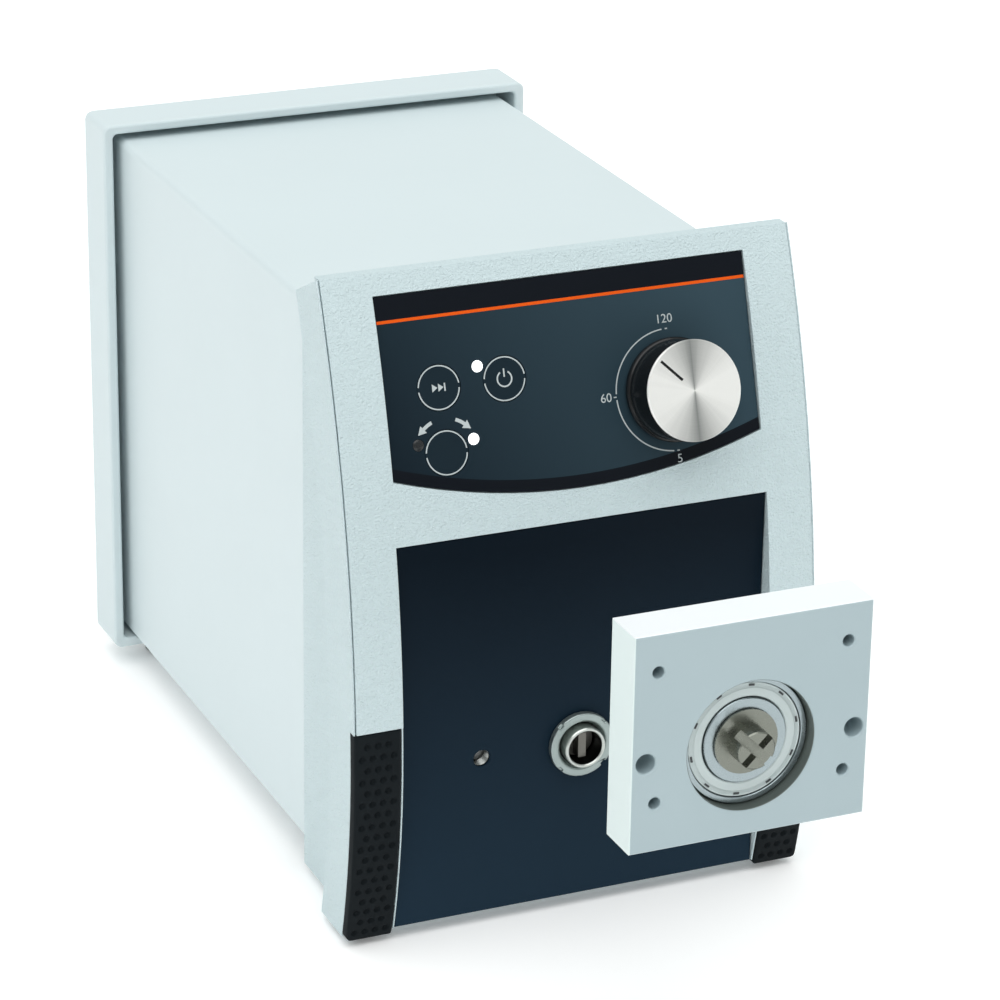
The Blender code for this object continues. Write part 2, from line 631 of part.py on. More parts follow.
switch_frame = part("power_switch_frame", box((-53, -27), (191.0, 192.6), (30, 60)), "black_plastic")
join(switch_frame, box((-50, -30), (172.0, 192.0), (33, 57)))
cut(switch_frame, box((-48.3, -31.7), (178.0, 200.0), (34.0, 56.0)))
ROCKER_PIVOT = (-40.0, 188.6, 45.0)
ROCKER_TILT = radians(8)
rocker_side = [(-5, -3), (0, -10.4), (2.2, -10.4), (3.4, 0), (2.2, 10.4), (0, 10.4), (-5, 3)]
rocker = extruded(rocker_side, "X", -8.0, 8.0)
rocker.transform(Matrix.Translation(ROCKER_PIVOT) @ Matrix.Rotation(ROCKER_TILT, 4, "X"))
part("power_rocker", rocker, "black_plastic", ROCKER_PIVOT)

port = part("remote_socket", box((-20, 10), (191.0, 192.4), (103.5, 116.5)), "steel")
join(port, extruded([(-15.5, 113.5), (5.5, 113.5), (3.8, 106.5), (-13.8, 106.5)], "Y", 182.0, 193.8))
cut(port, extruded([(-14.3, 112.5), (4.3, 112.5), (2.8, 107.5), (-12.8, 107.5)], "Y", 188.0, 196.0))

for name, x in (("left_rear_foot", -60.0), ("right_rear_foot", 60.0)):
    foot_profile = [(0, 0), (6.2, 0), (7.2, 1.2), (7.2, FRAME_Z[0] - GAP), (0, FRAME_Z[0] - GAP)]
    part(name, turned(foot_profile, (x, 183.0), "Z", 20), "rubber", smooth=True)


# Adapter plate with its ball bearing and coupling spindle

plate_x = PLATE[0] / 2
plate_y = (PLATE_FRONT_Y, PLATE_FRONT_Y + PLATE[1])
plate_mid_z = PLATE_BORE_Z + PLATE_ABOVE_BORE
plate_z = (plate_mid_z - PLATE[2] / 2, plate_mid_z + PLATE[2] / 2)
bore = (0.0, PLATE_BORE_Z)
BEARING_Y = (PLATE_FRONT_Y + 4.2, PLATE_FRONT_Y + 12.2)
adapter_plate = part("adapter_plate", box((-plate_x, plate_x), plate_y, plate_z), "plate_aluminium")
rounded_edges(adapter_plate, 0.7, 1)
small_holes = [(x, plate_mid_z + z) for x in (-31.7, 31.7) for z in (23.3, -19.7)]
large_holes = [(x, PLATE_BORE_Z) for x in (-HEAD_HOLE_X, HEAD_HOLE_X)]
cut(
    adapter_plate,
    merged(
        drum(21.3, plate_y[0] - 3, BEARING_Y[1] + GAP, bore, segments=48),
        *[drum(1.95, plate_y[0] - 3, plate_y[1] + 3, xz, segments=12) for xz in small_holes],
        *[drum(3.2, plate_y[0] - 3, plate_y[1] + 3, xz, segments=16) for xz in large_holes]),
    drum(14.0, BEARING_Y[1] - 1, plate_y[1] + 3, bore))
part("bearing_outer_race", ring(19.0, 21.0, *BEARING_Y, bore, segments=48), "steel", smooth=True)
front_shield = (BEARING_Y[0] + 0.5, BEARING_Y[0] + 1.1)
rear_shield = (BEARING_Y[1] - 1.1, BEARING_Y[1] - 0.5)
part("bearing_front_shield", ring(14.2, 18.7, *front_shield, bore, segments=40), "steel", smooth=True)
part("bearing_rear_shield", ring(14.2, 18.7, *rear_shield, bore, segments=40), "steel", smooth=True)
spindle_pivot = (0.0, PLATE_FRONT_Y, PLATE_BORE_Z)
part("bearing_inner_race", ring(10.0, 13.9, *BEARING_Y, bore, segments=40), "steel", spindle_pivot, True)
spindle_profile = [
    (0, -4.0), (5.8, -4.0), (6.2, -3.6), (6.2, 3.2), (10.6, 3.2), (10.6, 3.9), (9.7, 3.9), (9.7, 10.4),
    (3.4, 10.4), (3.4, 15.6), (0, 15.6),
]
spindle_profile = [(r, PLATE_FRONT_Y + y) for r, y in spindle_profile]
spindle = part("adapter_spindle", turned(spindle_profile, bore), "steel", spindle_pivot, True)
jaw_slots = []
for turn, half_width, depth in ((pi / 4, 1.6, 1.0), (-pi / 4, 1.2, -0.8)):
    slot = box((-9, 9), (-6, depth), (-half_width, half_width))
    slot.transform(Matrix.Rotation(turn, 4, "Y"))
    bmesh.ops.translate(slot, verts=slot.verts, vec=spindle_pivot)
    jaw_slots.append(slot)
tang_slot = box(
    (-1.75, 1.75), (PLATE_FRONT_Y + 13.9, PLATE_FRONT_Y + 18), (PLATE_BORE_Z - 6, PLATE_BORE_Z + 6))
cut(spindle, *jaw_slots, tang_slot)
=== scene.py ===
import json
from math import cos, pi, radians, sin, sqrt

import bmesh
import bpy
from mathutils import Matrix, Vector


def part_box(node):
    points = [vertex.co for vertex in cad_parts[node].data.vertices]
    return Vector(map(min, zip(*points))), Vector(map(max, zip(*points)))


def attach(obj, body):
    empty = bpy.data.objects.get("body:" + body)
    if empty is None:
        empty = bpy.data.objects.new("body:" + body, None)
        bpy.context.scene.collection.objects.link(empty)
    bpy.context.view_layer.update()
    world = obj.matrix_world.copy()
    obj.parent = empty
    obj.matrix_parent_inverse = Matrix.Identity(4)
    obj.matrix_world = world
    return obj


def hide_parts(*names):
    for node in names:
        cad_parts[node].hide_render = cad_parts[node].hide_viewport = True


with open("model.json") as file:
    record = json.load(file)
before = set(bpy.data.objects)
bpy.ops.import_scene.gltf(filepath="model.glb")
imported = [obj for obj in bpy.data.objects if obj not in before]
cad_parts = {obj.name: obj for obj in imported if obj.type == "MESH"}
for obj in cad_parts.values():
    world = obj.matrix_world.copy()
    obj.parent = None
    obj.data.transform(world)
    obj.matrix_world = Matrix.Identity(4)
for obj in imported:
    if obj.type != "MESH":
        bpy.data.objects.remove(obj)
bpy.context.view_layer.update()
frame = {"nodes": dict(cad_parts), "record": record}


# ---------------------------------------------------------------- Viewpoint, light and floor
# The pump stands on a pale sweep and is seen from a little above, left of its front.
# A broad lamp hangs overhead and a faint one at the left. The soft light all round is stronger
# from above, behind and the right.

view = bpy.data.cameras.new("viewpoint")
view.lens = 143.6
view.sensor_width = 36.0
view.clip_start = 0.05
viewpoint = bpy.data.objects.new("viewpoint", view)
viewpoint.location = (-0.5074, -1.1511, 0.6322)
viewpoint.rotation_euler = (radians(67.913), radians(-0.849), radians(-23.439))
bpy.context.scene.collection.objects.link(viewpoint)
bpy.context.scene.camera = viewpoint
bpy.context.scene.view_settings.view_transform = "Standard"

room = bpy.data.worlds.new("pale_room")
room.use_nodes = True
bpy.context.scene.world = room
room_nodes = room.node_tree.nodes
room_links = room.node_tree.links
seen = room_nodes.new("ShaderNodeBackground")
seen.inputs["Color"].default_value = (1.0, 1.0, 1.0, 1.0)
seen.inputs["Strength"].default_value = 1.0
glow = room_nodes["Background"]
glow.inputs["Color"].default_value = (0.96, 1.0, 0.99, 1.0)
direction = room_nodes.new("ShaderNodeTexCoord")
brighter = room_nodes.new("ShaderNodeVectorMath")
brighter.operation = "DOT_PRODUCT"
brighter.inputs[1].default_value = (0.10, 0.12, 0.16)
strength = room_nodes.new("ShaderNodeMath")
strength.inputs[1].default_value = 0.52
room_links.new(direction.outputs["Generated"], brighter.inputs[0])
room_links.new(brighter.outputs["Value"], strength.inputs[0])
room_links.new(strength.outputs["Value"], glow.inputs["Strength"])
ray = room_nodes.new("ShaderNodeLightPath")
choice = room_nodes.new("ShaderNodeMixShader")
room_links.new(ray.outputs["Is Camera Ray"], choice.inputs["Fac"])
room_links.new(glow.outputs["Background"], choice.inputs[1])
room_links.new(seen.outputs["Background"], choice.inputs[2])
room_links.new(choice.outputs["Shader"], room_nodes["World Output"].inputs["Surface"])


def lamp(name, towards, strength, spread):
    """A broad far-off lamp whose light travels along `towards`."""
    light = bpy.data.lights.new(name, "SUN")
    light.energy = strength
    light.angle = radians(spread)
    holder = bpy.data.objects.new(name, light)
    holder.rotation_euler = Vector(towards).to_track_quat("-Z", "Y").to_euler()
    bpy.context.scene.collection.objects.link(holder)


lamp("overhead_lamp", (0.2, 0.3, -1.0), 1.8, 70)
lamp("left_lamp", (1.0, 0.35, -0.5), 0.08, 60)

floor_shape = bmesh.new()
bmesh.ops.create_grid(floor_shape, x_segments=1, y_segments=1, size=12.0)
floor_mesh = bpy.data.meshes.new("pale_floor")
floor_shape.to_mesh(floor_mesh)
floor_shape.free()
floor_paper = bpy.data.materials.new("pale_paper")
floor_paper.use_nodes = True
paper = floor_paper.node_tree.nodes["Principled BSDF"].inputs
paper["Base Color"].default_value = (0.99, 0.99, 0.99, 1.0)
paper["Roughness"].default_value = 0.9
paper["Emission Color"].default_value = (1.0, 1.0, 1.0, 1.0)
paper["Emission Strength"].default_value = 0.14
floor_mesh.materials.append(floor_paper)
floor = bpy.data.objects.new("pale_floor", floor_mesh)
bpy.context.scene.collection.objects.link(floor)


# ---------------------------------------------------------------- Housing cover
# One sheet of 1.5 mm steel folded into an inverted U over the works, with a tight bend at each
# top edge. It is powder coated in pale grey and slides into the front and rear mouldings.

MM = 0.001


class Signal:
    """A number in a shader. Python sums on it add the Math nodes for them."""

    def __init__(self, finish, socket):
        self.finish = finish
        self.socket = socket

    def maths(self, operation, *terms):
        sockets = {place: term for place, term in enumerate(terms)}
        return self.finish.node("ShaderNodeMath", {"operation": operation}, sockets)

    def __add__(self, other):
        return self.maths("ADD", self, other)

    def __radd__(self, other):
        return self.maths("ADD", other, self)

    def __sub__(self, other):
        return self.maths("SUBTRACT", self, other)

    def __rsub__(self, other):
        return self.maths("SUBTRACT", other, self)

    def __mul__(self, other):
        return self.maths("MULTIPLY", self, other)

    def __rmul__(self, other):
        return self.maths("MULTIPLY", other, self)

    def __truediv__(self, other):
        return self.maths("DIVIDE", self, other)

    def __pow__(self, other):
        return self.maths("POWER", self, other)

    def above(self, other):
        return self.maths("GREATER_THAN", self, other)

    def size(self):
        return self.maths("ABSOLUTE", self)

    def reach(self, other):
        """Distance from the line where this signal and another are both zero."""
        return (self * self + other * other) ** 0.5


class Finish:
    """A surface finish: a material, its shader, and the position it is worked out from, in mm."""

    def __init__(self, name, colour, roughness, metallic=0.0, **constants):
        self.material = bpy.data.materials.new(name)
        self.material.use_nodes = True
        self.tree = self.material.node_tree
        self.shader = self.tree.nodes["Principled BSDF"]
        self.shader.inputs["Base Color"].default_value = (*colour, 1.0)
        self.shader.inputs["Roughness"].default_value = roughness
        self.shader.inputs["Metallic"].default_value = metallic
        for word, value in constants.items():
            socket = word.replace("_", " ").title().replace("Ior", "IOR")
            self.shader.inputs[socket].default_value = value
        self.colour = colour
        self.place = self.node("ShaderNodeTexCoord", {}, {}, "Object")
        apart = self.node("ShaderNodeSeparateXYZ", {}, {"Vector": self.place}, "X")
        outputs = apart.socket.node.outputs
        self.x, self.y, self.z = (Signal(self, outputs[axis]) * 1000 for axis in "XYZ")

    def node(self, kind, settings, sockets, output=0):
        """A node with its settings made first, then its sockets set or linked."""
        made = self.tree.nodes.new(kind)
        for name, value in settings.items():
            setattr(made, name, value)
        for name, value in sockets.items():
            if isinstance(value, Signal):
                self.tree.links.new(value.socket, made.inputs[name])
            else:
                made.inputs[name].default_value = value
        return Signal(self, made.outputs[output])

    def drive(self, name, value):
        self.tree.links.new(value.socket, self.shader.inputs[name])
        return self

    def speckle(self, size, detail=2.0, squash=(1, 1, 1)):
        """Noise whose blotches are about `size` mm across."""
        place = self.node("ShaderNodeMapping", {}, {"Vector": self.place, "Scale": squash})
        sockets = {"Vector": place, "Scale": 1000.0 / size, "Detail": detail}
        return self.node("ShaderNodeTexNoise", {}, sockets)

    def between(self, amount, first, second):
        """Mix of two colours."""
        sockets = {"Factor": amount}
        for place, colour in ((6, first), (7, second)):
            sockets[place] = colour if isinstance(colour, Signal) else (*colour, 1.0)
        settings = {"data_type": "RGBA", "clamp_factor": True}
        return self.node("ShaderNodeMix", settings, sockets, 2)

    def tint(self, amount, spread):
        """Base colour that varies by +-spread with a signal from 0 to 1."""
        low = tuple(channel * (1 - spread) for channel in self.colour)
        high = tuple(min(1.0, channel * (1 + spread)) for channel in self.colour)
        return self.drive("Base Color", self.between(amount, low, high))

    def relief(self, height, depth):
        """Bump from a height signal, where 1 stands for `depth` mm."""
        sockets = {"Strength": 1.0, "Distance": depth * MM, "Height": height}
        return self.drive("Normal", self.node("ShaderNodeBump", {}, sockets))


def piece(name, shape, finish, body, stands_for=(), smooth=30, merged=False):
    """Turns a bmesh into a piece of the pump that rides on a body and hides what it stands for."""
    if not merged:
        bmesh.ops.remove_doubles(shape, verts=shape.verts, dist=1e-7)
    mesh = bpy.data.meshes.new(name)
    shape.to_mesh(mesh)
    shape.free()
    mesh.materials.append(finish.material)
    mesh.shade_smooth()
    mesh.set_sharp_from_angle(angle=radians(smooth))
    made = bpy.data.objects.new(name, mesh)
    bpy.context.scene.collection.objects.link(made)
    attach(made, body)
    if stands_for:
        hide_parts(*stands_for)
    return made


coated_steel = Finish("powder_coated_cover", (0.64, 0.725, 0.745), 0.42)
peel = coated_steel.speckle(0.9, 2.0)
coated_steel.tint(coated_steel.speckle(45, 1.0), 0.012)
coated_steel.relief(peel, 0.012)
coated_steel.drive("Roughness", 0.38 + 0.08 * coated_steel.speckle(6, 3.0))

low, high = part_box("housing_cover")
SHEET = 1.5 * MM
BEND = 2.6 * MM
cover = bmesh.new()
corners = [(low.x, low.z), (low.x, high.z), (high.x, high.z), (high.x, low.z)]
rim = [cover.verts.new((x, low.y, z)) for x, z in corners]
for pair in zip(rim, rim[1:]):
    cover.edges.new(pair)
bmesh.ops.bevel(
    cover, geom=rim[1:3], offset=BEND, segments=6, profile=0.5, affect="VERTICES", material=-1)
drawn = bmesh.ops.extrude_edge_only(cover, edges=cover.edges[:])["geom"]
drawn = [item for item in drawn if isinstance(item, bmesh.types.BMVert)]
bmesh.ops.translate(cover, verts=drawn, vec=(0, high.y - low.y, 0))
bmesh.ops.recalc_face_normals(cover, faces=cover.faces)
inside = Vector((0, 0, 0.1))
outwards = sum((face.calc_center_median() - inside).dot(face.normal) for face in cover.faces)
if outwards < 0:
    bmesh.ops.reverse_faces(cover, faces=cover.faces)
bmesh.ops.solidify(cover, geom=cover.faces[:], thickness=SHEET)
bmesh.ops.recalc_face_normals(cover, faces=cover.faces)
piece("folded_cover", cover, coated_steel, "chassis", ("housing_cover",), smooth=35)


# ---------------------------------------------------------------- Front moulding and its fascia
# A curved hood with a skirt that laps the cover, and a grained fascia plate let into its front
# with a fine shadow line. Both are thick light grey mouldings with softened edges.

FLAT_SEAM = radians(0.4)
SHARP_EDGE = radians(40)


def dressed(node, finish, name, width, segments=2):
    """A clean copy of a CAD part with its edges softened by `width` mm, which stands for it."""
    bodies = frame["record"]["behaviour"]["bodies"]
    body = next(holder for holder, nodes in bodies.items() if node in nodes)
    shape = bmesh.new()
    shape.from_mesh(frame["nodes"][node].data)
    bmesh.ops.remove_doubles(shape, verts=shape.verts, dist=2e-6)
    bmesh.ops.dissolve_limit(
        shape, angle_limit=FLAT_SEAM, use_dissolve_boundaries=False, verts=shape.verts,
        edges=shape.edges, delimit=set())
    made = piece(name, shape, finish, body, (node,), smooth=35, merged=True)
    softened = made.modifiers.new("softened_edges", "BEVEL")
    softened.width = width * MM
    softened.segments = segments
    softened.limit_method = "ANGLE"
    softened.angle_limit = SHARP_EDGE
    softened.use_clamp_overlap = True
    even = made.modifiers.new("even_normals", "WEIGHTED_NORMAL")
    even.keep_sharp = True


grained = Finish("grained_grey_moulding", (0.59, 0.70, 0.725), 0.5)
pores = grained.speckle(0.85, 1.2, (1.0, 1.0, 1.2))
grit = grained.speckle(0.45, 2.0)
grained.relief(pores * 0.8 + grit * 0.2, 0.8)
grained.drive("Roughness", 0.44 + 0.14 * pores)
grained.tint(grained.speckle(30, 1.0), 0.012)
dressed("front_bezel", grained, "curved_hood", 0.9, 3)
dressed("front_fascia", grained, "grained_fascia", 0.4)


# ---------------------------------------------------------------- Rear frame
# A picture-frame moulding that the cover slides into, leaving a narrow dark gap all round.

smooth_moulding = Finish("smooth_grey_moulding", (0.64, 0.725, 0.745), 0.45)
smooth_moulding.relief(smooth_moulding.speckle(1.1, 3.0), 0.03)
smooth_moulding.drive("Roughness", 0.42 + 0.1 * smooth_moulding.speckle(9, 3.0))
dressed("rear_frame", smooth_moulding, "rear_surround", 0.9, 3)


# ---------------------------------------------------------------- Grip pads
# Soft black rubber pads let into the front legs, moulded with staggered rows of round dimples.
# Each runs back under its leg to a small foot that carries the front of the unit.

rubber = Finish("moulded_rubber", (0.0035, 0.0065, 0.0085), 0.6, specular_ior_level=0.14)
rubber.relief(rubber.speckle(0.5, 3.0), 0.02)
rubber.drive("Roughness", 0.55 + 0.2 * rubber.speckle(8, 3.0))

FRONT_R = 412.5
FRONT_Y, FRONT_Z = -75.8, 62.8
TUCK_TOP = 70.0


def front_curve(z):
    """Y of the front's curve at height z, both in mm. It falls back faster low down."""
    tuck = 0.00075 * max(0.0, TUCK_TOP - z) ** 2
    return FRONT_Y + FRONT_R - sqrt(FRONT_R ** 2 - (z - FRONT_Z) ** 2) + tuck


DIMPLE_R = 1.25
DIMPLE_DEEP = 0.9
ROW_PITCH, COLUMN_PITCH = 4.13, 3.65
PAD_BOTTOM = 2.7
PAD_THICK = 3.6
PAD_PROUD = 0.2
OUTER_CORNER, INNER_CORNER = 2.2, 1.2
FOOT_X, FOOT_WIDTH = 75, 8
# The strap under the leg, the foot, and the strap's turned-up end: each from y to y and z to z.
FOOT_BLOCKS = [
    ((-66.2, -50.0), (2.0, 2.6)), ((-60.5, -50.1), (0.0, 2.5)), ((-66.2, -65.6), (2.1, 5.0))]
dimples = []
for row in range(18):
    count = 4 if row % 2 == 0 else 3
    for place in range(count):
        dimples.append(((place - (count - 1) / 2) * COLUMN_PITCH, 3.2 + row * ROW_PITCH))


def grip_pad(side):
    """A block with a fine face grid, bent to the front curve and dented, with its foot behind."""
    low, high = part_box(f"{side}_grip_pad")
    middle = (low.x + high.x) / 2 / MM
    half = (high.x - low.x) / 2 / MM
    tall = high.z / MM - PAD_BOTTOM
    outward = -1 if side == "left" else 1
    pad = bmesh.new()
    bmesh.ops.create_grid(
        pad, x_segments=72, y_segments=340, size=0.5,
        matrix=Matrix.Translation((0, 0, 0.5)) @ Matrix.Rotation(pi / 2, 4, "X"))
    for vert in pad.verts:
        across = vert.co.x * 2 * half
        up = vert.co.z * tall
        for corner, radius in ((outward, OUTER_CORNER), (-outward, INNER_CORNER)):
            beyond = across * corner - (half - radius)
            if beyond > 0 and up < radius:
                reach = sqrt(beyond ** 2 + (radius - up) ** 2)
                if reach > radius:
                    across = corner * (half - radius + beyond * radius / reach)
                    up = radius - (radius - up) * radius / reach
        edge = min(half - abs(across), up + 0.3, tall - up)
        sunk = 0.5 * (1 - min(1.0, edge / 0.9)) ** 2
        for dimple_x, dimple_z in dimples:
            away = (across - dimple_x) ** 2 + (up - dimple_z) ** 2
            if away < DIMPLE_R ** 2:
                sunk += DIMPLE_DEEP * (1 - away / DIMPLE_R ** 2) ** 0.8
        up += PAD_BOTTOM
        vert.co = Vector((middle + across, front_curve(up) - PAD_PROUD + sunk, up)) * MM
    rim = [edge for edge in pad.edges if edge.is_boundary]
    grown = bmesh.ops.extrude_edge_only(pad, edges=rim)["geom"]
    for vert in [item for item in grown if isinstance(item, bmesh.types.BMVert)]:
        vert.co.y = (front_curve(vert.co.z / MM) + PAD_THICK) * MM
    open_back = [edge for edge in pad.edges if edge.is_boundary]
    bmesh.ops.contextual_create(pad, geom=open_back)
    bmesh.ops.triangulate(pad, faces=[face for face in pad.faces if len(face.verts) > 4])
    for (front, back), (bottom, top) in FOOT_BLOCKS:
        size = Vector((FOOT_WIDTH, back - front, top - bottom)) * MM
        centre = Vector((outward * FOOT_X, (front + back) / 2, (bottom + top) / 2)) * MM
        block = bmesh.ops.create_cube(pad, size=1.0)["verts"]
        bmesh.ops.scale(pad, verts=block, vec=size)
        bmesh.ops.translate(pad, verts=block, vec=centre)
    bmesh.ops.recalc_face_normals(pad, faces=pad.faces)
    piece(
        f"{side}_dimpled_pad", pad, rubber, "chassis", (f"{side}_grip_pad",), smooth=50)


grip_pad("left")
grip_pad("right")


# ---------------------------------------------------------------- Mounting panel
# A flat 5 mm plate in satin navy powder coat, where the pump head is bolted. It has a central
# hole for the drive socket, and two threaded steel inserts either side of it.

def round_hole(centre, radius, segments=40):
    """Points round a circle."""
    turns = [2 * pi * step / segments for step in range(segments)]
    return [(centre[0] + radius * cos(turn), centre[1] + radius * sin(turn)) for turn in turns]


def oblong(x, z, inset=0.0):
    """Corners of a rectangle given as two ranges, moved in by `inset`."""
    x0, x1, z0, z1 = x[0] + inset, x[1] - inset, z[0] + inset, z[1] - inset
    return [(x0, z0), (x1, z0), (x1, z1), (x0, z1)]


def bored_slab(walls):
    """A slab from its walls, each a list of (outline, depth) from front to back. The first is the
    outside, and the others are holes. The front and back are filled between them."""
    slab = bmesh.new()
    fronts = []
    backs = []
    for wall in walls:
        loops = []
        for outline, depth in wall:
            verts = [slab.verts.new((a, depth, b)) for a, b in outline]
            loops.append([slab.edges.new((verts[i - 1], verts[i])) for i in range(len(verts))])
        for near, far in zip(loops, loops[1:]):
            bmesh.ops.bridge_loops(slab, edges=near + far)
        fronts += loops[0]
        backs += loops[-1]
    bmesh.ops.triangle_fill(slab, use_beauty=True, use_dissolve=False, edges=fronts)
    bmesh.ops.triangle_fill(slab, use_beauty=True, use_dissolve=False, edges=backs)
    bmesh.ops.recalc_face_normals(slab, faces=slab.faces)
    bmesh.ops.scale(slab, verts=slab.verts, vec=(MM, MM, MM))
    return slab


def chamfered(outline_at, front, back, chamfer):
    """A wall with its front and back edges broken. outline_at(c) is the outline moved in by c."""
    broken, full = outline_at(chamfer), outline_at(0.0)
    return [(broken, front), (full, front + chamfer), (full, back - chamfer), (broken, back)]


def straight(outline, front, back):
    """A wall with the same outline all the way."""
    return [(outline, front), (outline, back)]


navy = Finish("navy_powder_coat", (0.0035, 0.0105, 0.019), 0.5, specular_ior_level=0.06)
navy.relief(navy.speckle(0.7, 2.0), 0.02)
navy.drive("Roughness", 0.4 + 0.12 * navy.speckle(14, 2.0))
# Painted reflection: the coat is coloured lighter towards the bottom, where it would catch the pale
# floor.
painted_reflection_by_height = navy.z / 140 + 0.08 * navy.speckle(60, 1.0)
navy.drive("Base Color", navy.between(painted_reflection_by_height, (0.0125, 0.030, 0.050), (0.0018, 0.0065, 0.0125)))

AXIS_Z = 61.0
BOLT_X = 35.0
low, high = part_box("mounting_panel")
panel_x = (low.x / MM, high.x / MM)
panel_y = (low.y / MM, high.y / MM)
panel_z = (low.z / MM, high.z / MM)
walls = [chamfered(lambda c: oblong(panel_x, panel_z, c), *panel_y, 0.3)]
walls.append(chamfered(lambda c: round_hole((0, AXIS_Z), 9.2 + c, 64), *panel_y, 0.2))
for hole_x in (-BOLT_X, BOLT_X):
    steps = [(3.3, panel_y[0]), (2.95, panel_y[0] + 0.35), (2.95, panel_y[0] + 1.0)]
    steps += [(4.6, panel_y[0] + 1.0), (4.6, panel_y[1])]
    walls.append([(round_hole((hole_x, AXIS_Z), r), y) for r, y in steps])
piece("pump_head_seat", bored_slab(walls), navy, "chassis", ("mounting_panel",))


def lathe(profile, middle, axis="Y", segments=72, closed=False):
    """Turns a profile of (radius, height) points in mm about a line along Y or Z through `middle`.
    A closed profile is a ring's section, and an open one starts and ends on the line."""
    turned = bmesh.new()
    if axis == "Y":
        verts = [turned.verts.new((radius, height, 0)) for radius, height in profile]
        along = (0, 1, 0)
        place = (middle[0], 0, middle[1])
    else:
        verts = [turned.verts.new((radius, 0, height)) for radius, height in profile]
        along = (0, 0, 1)
        place = (middle[0], middle[1], 0)
    pairs = list(zip(verts, verts[1:])) + ([(verts[-1], verts[0])] if closed else [])
    edges = [turned.edges.new(pair) for pair in pairs]
    bmesh.ops.spin(
        turned, geom=verts + edges, cent=(0, 0, 0), axis=along, angle=2 * pi, steps=segments,
        use_merge=True)
    bmesh.ops.remove_doubles(turned, verts=turned.verts, dist=1e-4)
    bmesh.ops.recalc_face_normals(turned, faces=turned.faces)
    bmesh.ops.translate(turned, verts=turned.verts, vec=place)
    bmesh.ops.scale(turned, verts=turned.verts, vec=(MM, MM, MM))
    return turned


bright_steel = Finish("turned_steel", (0.30, 0.31, 0.30), 0.28, 1.0)
bright_steel.relief(bright_steel.speckle(0.35, 2.0, (1, 6, 1)), 0.006)
bright_steel.drive("Roughness", 0.2 + 0.16 * bright_steel.speckle(2.5, 3.0))
THREAD_PITCH = 0.6
insert_front, insert_back = panel_y[0] + 1.3, panel_y[1] - 0.1
for side, hole_x in (("left", -BOLT_X), ("right", BOLT_X)):
    thread = [(4.3, insert_front), (4.3, insert_back)]
    depth = insert_back
    while depth > insert_front + THREAD_PITCH:
        thread += [(2.6, depth), (2.95, depth - THREAD_PITCH / 2)]
        depth -= THREAD_PITCH
    thread.append((2.8, insert_front))
    sleeve = lathe(thread, (hole_x, AXIS_Z), segments=40, closed=True)
    piece(
        f"{side}_threaded_sleeve", sleeve, bright_steel, "chassis",
        (f"{side}_thread_insert",))


# ---------------------------------------------------------------- Drive socket
# An aluminium flange with spanner notches holds the socket in the panel. Inside it turn a
# plain steel sleeve and the shaft, whose end is milled to a flat blade.

flange_metal = Finish("blasted_aluminium", (0.36, 0.42, 0.41), 0.42, 0.9)
flange_metal.relief(flange_metal.speckle(0.3, 2.0), 0.012)
flange_metal.drive("Roughness", 0.36 + 0.14 * flange_metal.speckle(3, 3.0))
dressed("output_flange", flange_metal, "socket_flange", 0.35)
sleeve_profile = [
    (5.9, -57.5), (7.2, -57.5), (7.2, -73.1), (6.9, -73.5), (6.3, -73.5), (5.9, -73.1)]
sleeve_steel = Finish("bored_sleeve_steel", (0.5, 0.52, 0.5), 0.28, 0.95)
# Painted shade: the bore of the sleeve is coloured near black and its outside bright steel.
outside = sleeve_steel.x.reach(sleeve_steel.z - AXIS_Z).above(6.0)
sleeve_steel.drive(
    "Base Color", sleeve_steel.between(outside, (0.03, 0.033, 0.033), (0.52, 0.55, 0.52)))
sleeve_steel.relief(sleeve_steel.speckle(0.4, 2.0), 0.006)
piece(
    "socket_sleeve", lathe(sleeve_profile, (0, AXIS_Z), closed=True), sleeve_steel,
    "output_train", ("output_sleeve",))
dark_steel = Finish("oiled_steel", (0.17, 0.165, 0.15), 0.35, 0.9)
dark_steel.relief(dark_steel.speckle(0.4, 2.0), 0.008)
dark_steel.drive("Roughness", 0.28 + 0.2 * dark_steel.speckle(3, 3.0))
dressed("output_shaft", dark_steel, "bladed_shaft", 0.2)


# ---------------------------------------------------------------- Control panel
# A printed film on a 1 mm plate, let into the fascia. It is near black above an orange rule and
# slate grey below it, with a darker band along its curved lower edge. The slate grey is painted
# lighter towards the right and the top as painted light.

TILT = radians(17.9)
PANEL_Y, PANEL_Z = -54.15, 189.7
PANEL = Matrix.Translation((0, PANEL_Y * MM, PANEL_Z * MM)) @ Matrix((
    (1, 0, 0, 0),
    (0, sin(TILT), -cos(TILT), 0),
    (0, cos(TILT), sin(TILT), 0),
    (0, 0, 0, 1),
)) @ Matrix.Scale(MM, 4)
KNOB = (35.0, -12.8)
KEYS = {"max_key": (-46.1, -1.9), "power_key": (-23.3, -1.9), "direction_key": (-45.8, -22.9)}
LAMPS = {
    "power_lamp": (-32.2, 3.2), "left_turn_lamp": (-55.2, -19.3), "right_turn_lamp": (-36.1, -19.7)}
HALF_WIDTH, TOP_EDGE, LOW_EDGE, SAG = 65.0, 29.2, -40.0, 10.4


def panel_finish(name, colour, roughness, **constants):
    """A finish that also knows its place on the control panel: u across, v up."""
    made = Finish(name, colour, roughness, **constants)
    made.u = made.x
    made.v = (made.y - PANEL_Y) * sin(TILT) + (made.z - PANEL_Z) * cos(TILT)
    return made


